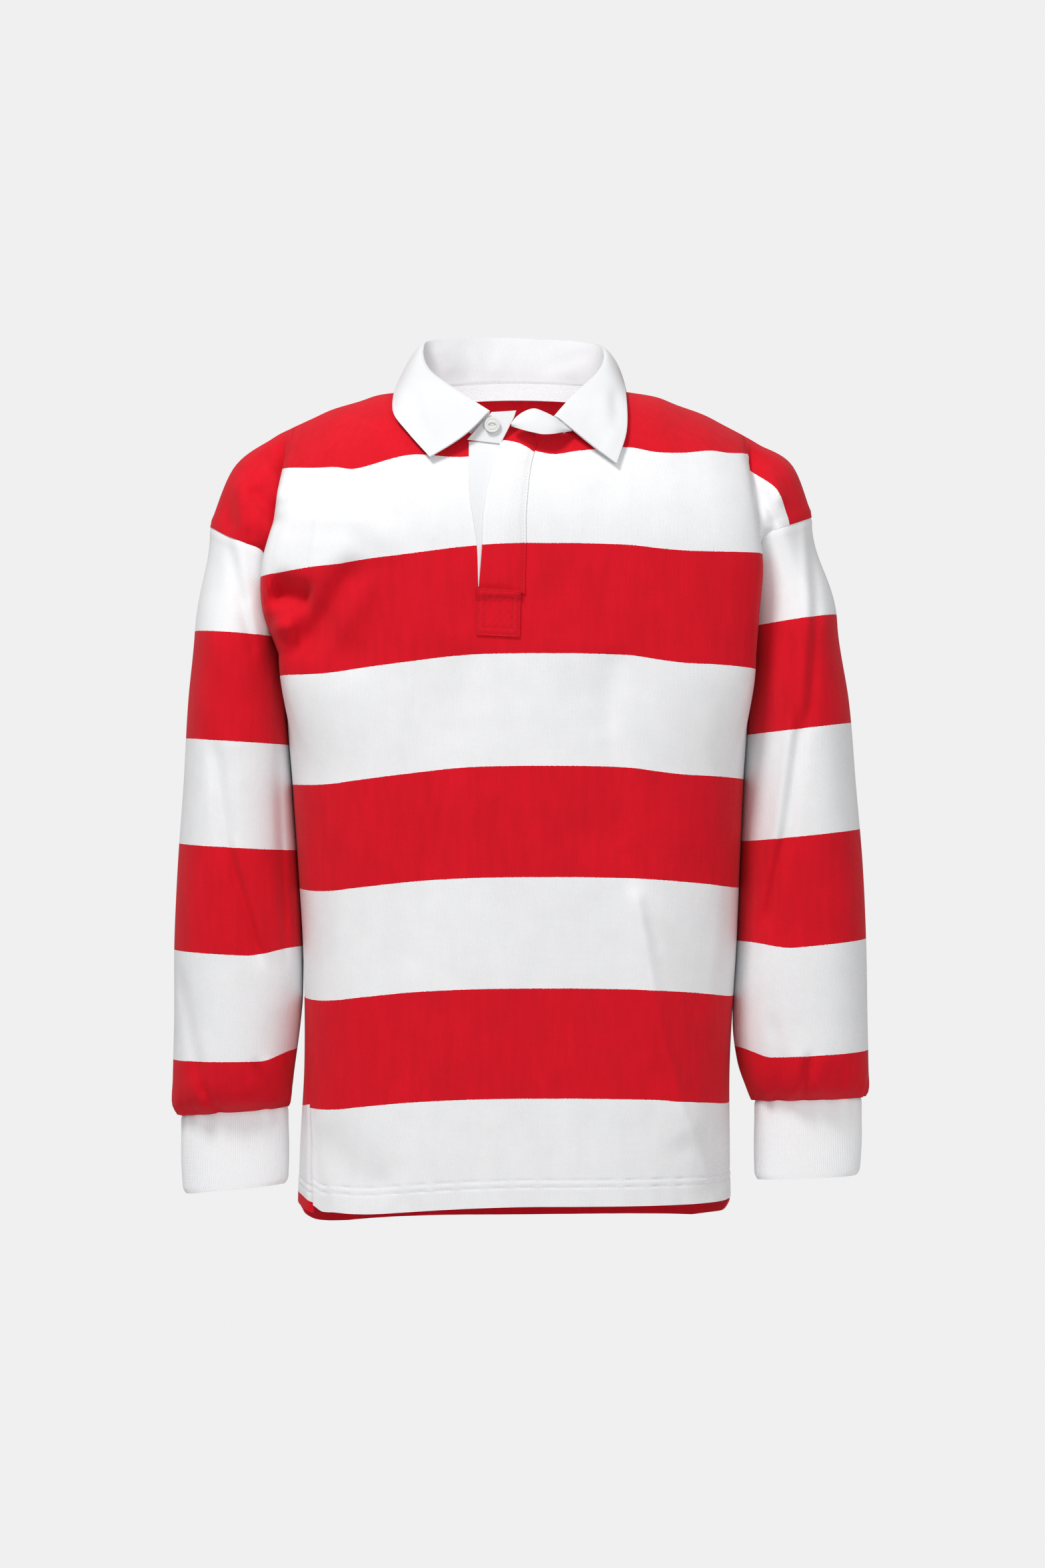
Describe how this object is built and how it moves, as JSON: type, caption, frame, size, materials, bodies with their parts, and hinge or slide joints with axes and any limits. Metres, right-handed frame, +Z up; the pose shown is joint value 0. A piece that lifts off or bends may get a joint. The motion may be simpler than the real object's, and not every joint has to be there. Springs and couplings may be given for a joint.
{
  "type": "rugby shirt",
  "caption": "Long-sleeved hooped rugby shirt in heavy jersey, filled out as worn, with a turned-down collar, open neck placket, dropped shoulders and rib cuffs.",
  "frame": {"origin": "between the high points of the two shoulder seams, where the neck's sides meet the shoulders, on the centre line", "axes": "+Z up, the front faces -Y, the viewer's right as seen from the front is +X"},
  "size_m": [0.6262, 0.2356, 0.8097],
  "materials": {
    "hooped_jersey": "heavy cotton jersey in wide red and white hoops",
    "white_twill": "white cotton twill",
    "white_rib": "fine white rib knit",
    "white_tape": "white herringbone cotton tape",
    "white_button": "satin white"
  },
  "bodies": {
    "root": {"front_panel": "hooped_jersey", "back_panel": "hooped_jersey", "sleeve_left": "hooped_jersey", "sleeve_right": "hooped_jersey", "cuff_left": "white_rib", "cuff_right": "white_rib", "collar": "white_twill", "placket_under": "white_twill", "placket_over": "hooped_jersey", "locker_patch": "hooped_jersey", "band_left": "white_twill", "band_right": "white_twill", "neck_tape": "white_tape", "button": "white_button"}
  },
  "joints": []
}
